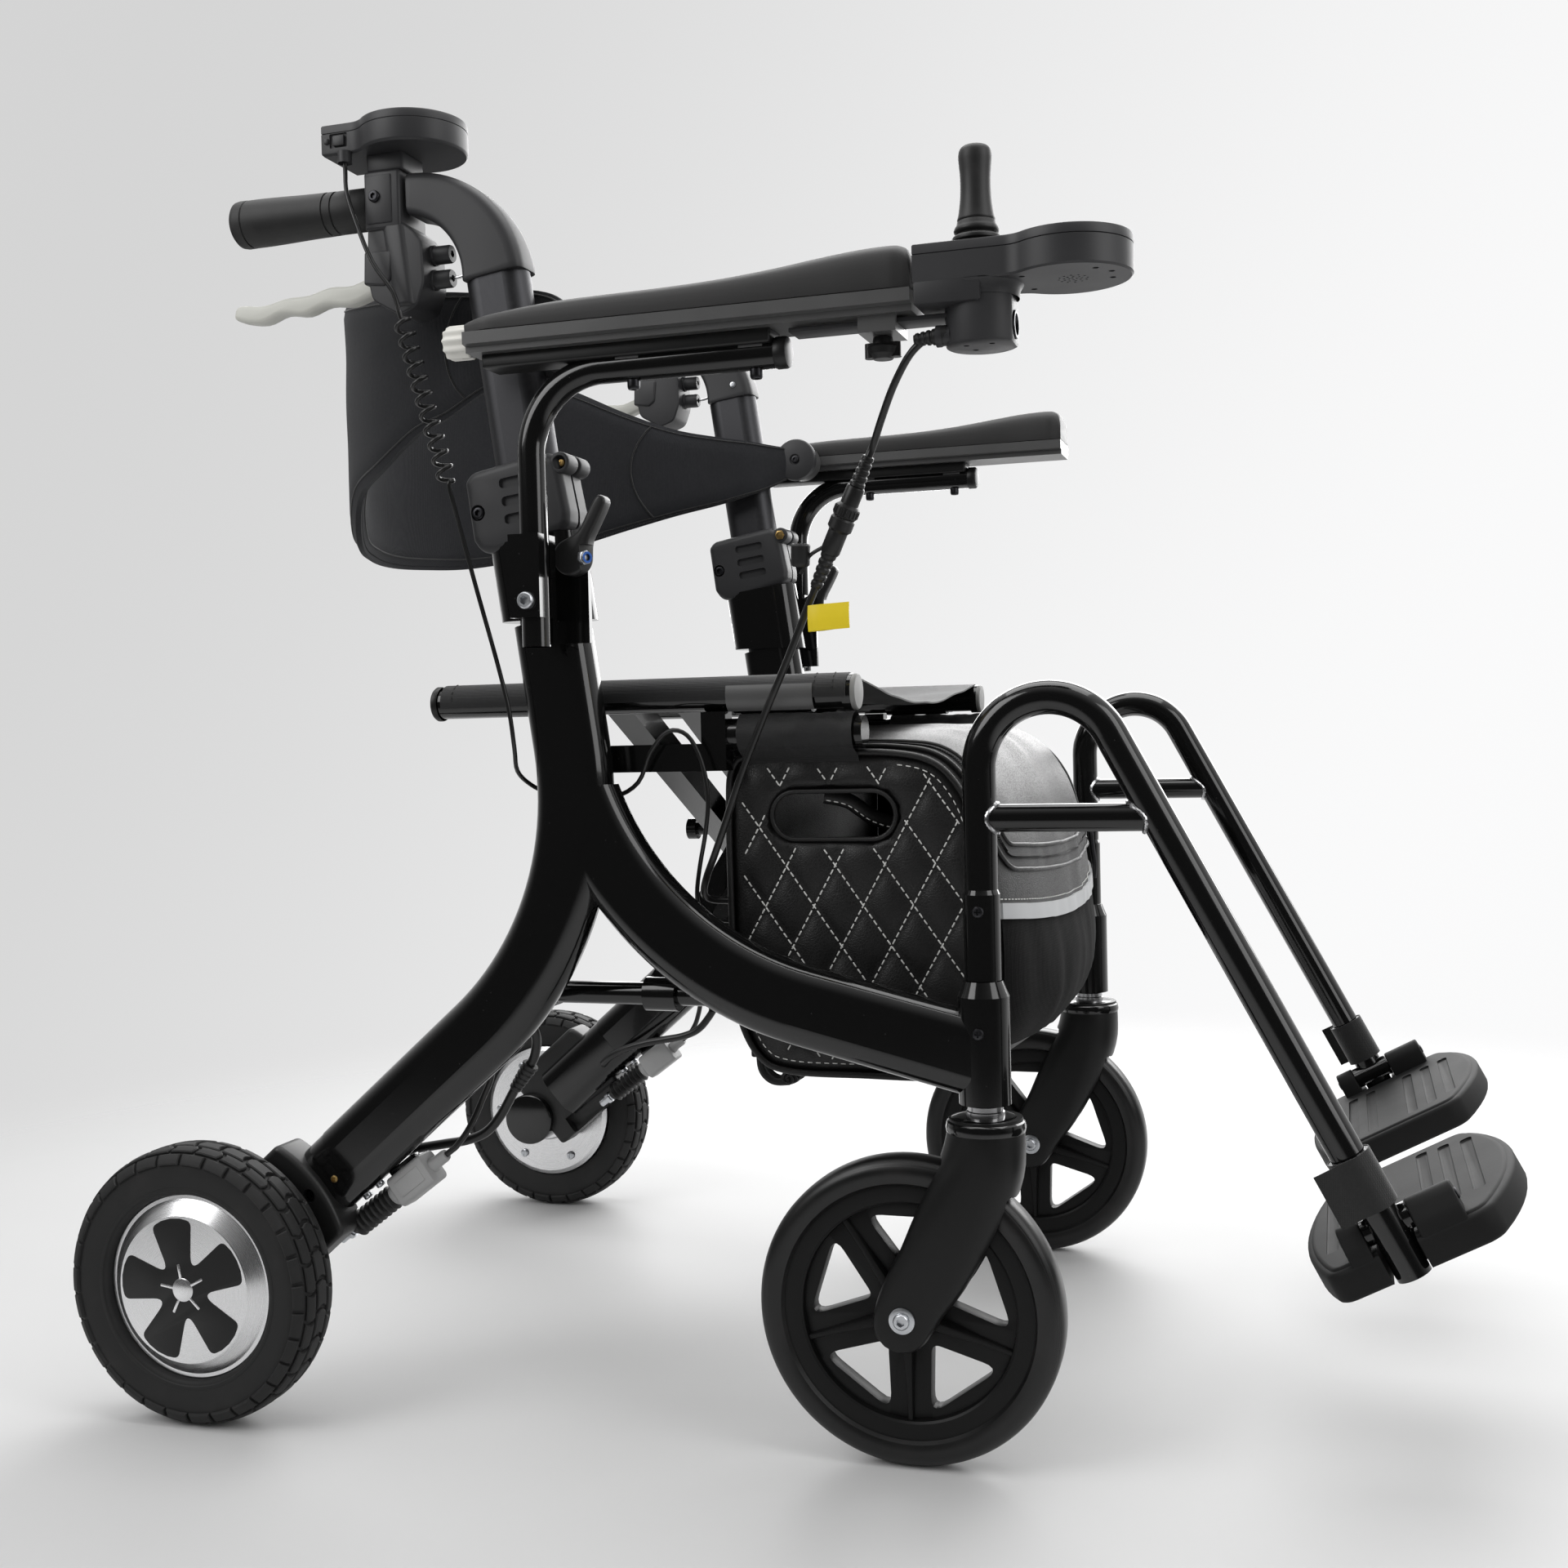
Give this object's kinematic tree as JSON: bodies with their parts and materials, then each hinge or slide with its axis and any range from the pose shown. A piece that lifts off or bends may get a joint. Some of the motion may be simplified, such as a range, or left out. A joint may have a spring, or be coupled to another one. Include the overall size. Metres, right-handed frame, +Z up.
{
  "type": "rollator transport chair",
  "caption": "Folding powered rollator chair with hub motor rear wheels, front castors, sling seat, swing-away leg rests, joystick and under-seat bag.",
  "frame": {"origin": "on the floor under the middle of the chair, midway between the side frames and between the rear tyres and the footplate tips", "axes": "+X forward, +Z up, the side frame with the joystick at -Y"},
  "size_m": [0.9978, 0.665, 0.919],
  "materials": {
    "gloss_black": "gloss black powder coat",
    "black_plastic": "fine grained black moulding",
    "grey_plastic": "light grey moulding",
    "tyre": "matte tread rubber",
    "rubber": "soft black rubber",
    "hub": "satin cast and turned",
    "steel": "zinc plated",
    "pad": "skinned polyurethane foam",
    "leather": "quilted black synthetic leather",
    "fabric": "woven dark polyester"
  },
  "bodies": {
    "frame_right": {"right_rear_leg": "gloss_black", "right_front_leg": "gloss_black", "right_rails": "gloss_black", "right_wheel_mount": "black_plastic", "right_post_clamp": "black_plastic", "right_brake_unit": "grey_plastic", "right_motor_lead": "rubber", "bag": "leather", "battery": "black_plastic", "joystick_cord": "rubber", "cord_connector": "black_plastic", "controller_cord": "rubber"},
    "frame_left": {"left_rear_leg": "gloss_black", "left_front_leg": "gloss_black", "left_rails": "gloss_black", "left_wheel_mount": "black_plastic", "left_post_clamp": "black_plastic", "left_brake_unit": "grey_plastic", "left_motor_lead": "rubber"},
    "brace_a": {"brace_a": "gloss_black"},
    "brace_b": {"brace_b": "gloss_black", "seat_sling": "fabric"},
    "back": {"backrest": "fabric"},
    "joystick": {"joystick_box": "black_plastic"},
    "gimbal": {"joystick_gimbal": "steel"},
    "stick": {"joystick_lever": "rubber"},
    "knob": {"thumb_knob": "black_plastic"},
    "right_rear_wheel": {"right_rear_tyre": "tyre", "right_rear_hub": "hub"},
    "right_castor": {"right_fork": "black_plastic"},
    "right_front_wheel": {"right_front_rim": "black_plastic", "right_front_tyre": "tyre"},
    "right_handle": {"right_handle_tube": "gloss_black", "right_elbow": "black_plastic", "right_grip": "rubber", "right_brake_housing": "black_plastic", "rear_controller": "black_plastic"},
    "right_brake": {"right_brake_lever": "black_plastic"},
    "right_arm": {"right_arm_channel": "gloss_black", "right_arm_pad": "pad", "right_arm_tube": "gloss_black"},
    "right_cam": {"right_cam_lever": "grey_plastic"},
    "right_leg": {"right_leg_rest": "gloss_black"},
    "right_plate": {"right_footplate": "black_plastic"},
    "left_rear_wheel": {"left_rear_tyre": "tyre", "left_rear_hub": "hub"},
    "left_castor": {"left_fork": "black_plastic"},
    "left_front_wheel": {"left_front_rim": "black_plastic", "left_front_tyre": "tyre"},
    "left_handle": {"left_handle_tube": "gloss_black", "left_elbow": "black_plastic", "left_grip": "rubber", "left_brake_housing": "black_plastic"},
    "left_brake": {"left_brake_lever": "black_plastic"},
    "left_arm": {"left_arm_channel": "gloss_black", "left_arm_pad": "pad", "left_arm_tube": "gloss_black"},
    "left_cam": {"left_cam_lever": "grey_plastic"},
    "left_leg": {"left_leg_rest": "gloss_black"},
    "left_plate": {"left_footplate": "black_plastic"}
  },
  "joints": [
    {"name": "fold", "type": "hinge", "parent": "frame_right", "child": "brace_a", "pos_m": [-0.07042, -0.215, 0.302], "axis": [1, 0, 0], "range_deg": [0, 40], "deforming": ["bag", "backrest"]},
    {"name": "fold_cross", "type": "hinge", "parent": "brace_a", "child": "brace_b", "pos_m": [-0.07042, 0, 0.4065], "axis": [1, 0, 0], "range_deg": [-80, 0], "deforming": ["seat_sling"]},
    {"name": "fold_left", "type": "hinge", "parent": "brace_b", "child": "frame_left", "pos_m": [-0.07042, 0.215, 0.302], "axis": [1, 0, 0], "range_deg": [0, 40]},
    {"name": "right_rear_spin", "type": "hinge", "parent": "frame_right", "child": "right_rear_wheel", "pos_m": [-0.39892, -0.298, 0.1], "axis": [0, 1, 0], "continuous": true},
    {"name": "right_swivel", "type": "hinge", "parent": "frame_right", "child": "right_castor", "pos_m": [0.16508, -0.248, 0.26], "axis": [0, 0, 1], "continuous": true},
    {"name": "right_front_spin", "type": "hinge", "parent": "right_castor", "child": "right_front_wheel", "pos_m": [0.11258, -0.248, 0.1025], "axis": [0, 1, 0], "continuous": true},
    {"name": "right_handle_height", "type": "slide", "parent": "frame_right", "child": "right_handle", "axis": [-0.1392, 0, 0.9903], "range_m": [-0.035, 0.06], "deforming": ["controller_cord"]},
    {"name": "right_brake_pull", "type": "hinge", "parent": "right_handle", "child": "right_brake", "pos_m": [-0.24892, -0.248, 0.81], "axis": [0, 1, 0], "range_deg": [0, 15], "stiffness_Nm_per_rad": 0.6, "springref_deg": -5.73},
    {"name": "right_arm_height", "type": "slide", "parent": "frame_right", "child": "right_arm", "axis": [0, 0, 1], "range_m": [0, 0.05], "deforming": ["joystick_cord", "cord_connector"]},
    {"name": "right_cam_turn", "type": "hinge", "parent": "frame_right", "child": "right_cam", "pos_m": [-0.10092, -0.2812, 0.605], "axis": [0, 1, 0], "range_deg": [0, 80]},
    {"name": "right_leg_swing", "type": "hinge", "parent": "frame_right", "child": "right_leg", "pos_m": [0.16508, -0.248, 0.31], "axis": [0, 0, -1], "range_deg": [0, 90]},
    {"name": "right_plate_flip", "type": "hinge", "parent": "right_leg", "child": "right_plate", "pos_m": [0.41091, -0.2438, 0.17614], "axis": [0.8829, 0, 0.4695], "range_deg": [0, 90]},
    {"name": "left_rear_spin", "type": "hinge", "parent": "frame_left", "child": "left_rear_wheel", "pos_m": [-0.39892, 0.298, 0.1], "axis": [0, 1, 0], "continuous": true},
    {"name": "left_swivel", "type": "hinge", "parent": "frame_left", "child": "left_castor", "pos_m": [0.16508, 0.248, 0.26], "axis": [0, 0, 1], "continuous": true},
    {"name": "left_front_spin", "type": "hinge", "parent": "left_castor", "child": "left_front_wheel", "pos_m": [0.11258, 0.248, 0.1025], "axis": [0, 1, 0], "continuous": true},
    {"name": "left_handle_height", "type": "slide", "parent": "frame_left", "child": "left_handle", "axis": [-0.1392, 0, 0.9903], "range_m": [-0.035, 0.06]},
    {"name": "left_brake_pull", "type": "hinge", "parent": "left_handle", "child": "left_brake", "pos_m": [-0.24892, 0.248, 0.81], "axis": [0, 1, 0], "range_deg": [0, 15], "stiffness_Nm_per_rad": 0.6, "springref_deg": -5.73},
    {"name": "left_arm_height", "type": "slide", "parent": "frame_left", "child": "left_arm", "axis": [0, 0, 1], "range_m": [0, 0.05]},
    {"name": "left_cam_turn", "type": "hinge", "parent": "frame_left", "child": "left_cam", "pos_m": [-0.10092, 0.2812, 0.605], "axis": [0, 1, 0], "range_deg": [0, 80]},
    {"name": "left_leg_swing", "type": "hinge", "parent": "frame_left", "child": "left_leg", "pos_m": [0.16508, 0.248, 0.31], "axis": [0, 0, 1], "range_deg": [0, 90]},
    {"name": "left_plate_flip", "type": "hinge", "parent": "left_leg", "child": "left_plate", "pos_m": [0.41091, 0.2438, 0.17614], "axis": [-0.8829, 0, -0.4695], "range_deg": [0, 90]},
    {"name": "joystick_reach", "type": "slide", "parent": "right_arm", "child": "joystick", "axis": [1, 0, 0], "range_m": [0, 0.06]},
    {"name": "stick_roll", "type": "hinge", "parent": "joystick", "child": "gimbal", "pos_m": [0.18108, -0.301, 0.765], "axis": [1, 0, 0], "range_deg": [-12, 12], "stiffness_Nm_per_rad": 0.25},
    {"name": "stick_pitch", "type": "hinge", "parent": "gimbal", "child": "stick", "pos_m": [0.18108, -0.301, 0.765], "axis": [0, 1, 0], "range_deg": [-12, 12], "stiffness_Nm_per_rad": 0.25},
    {"name": "knob_turn", "type": "hinge", "parent": "right_arm", "child": "knob", "pos_m": [0.12108, -0.301, 0.728], "axis": [0, 0, 1], "continuous": true},
    {"name": "back_flip", "type": "hinge", "parent": "right_arm", "child": "back", "pos_m": [-0.10492, -0.267, 0.745], "axis": [0, 1, 0], "range_deg": [0, 170]}
  ],
  "couplings": [
    {"joint": "fold_cross", "follows": "fold", "ratio": -2},
    {"joint": "fold_left", "follows": "fold", "ratio": 1},
    {"joint": "right_plate_flip", "follows": "fold", "ratio": 2.25},
    {"joint": "left_plate_flip", "follows": "fold", "ratio": 2.25},
    {"joint": "left_arm_height", "follows": "right_arm_height", "ratio": 1}
  ]
}
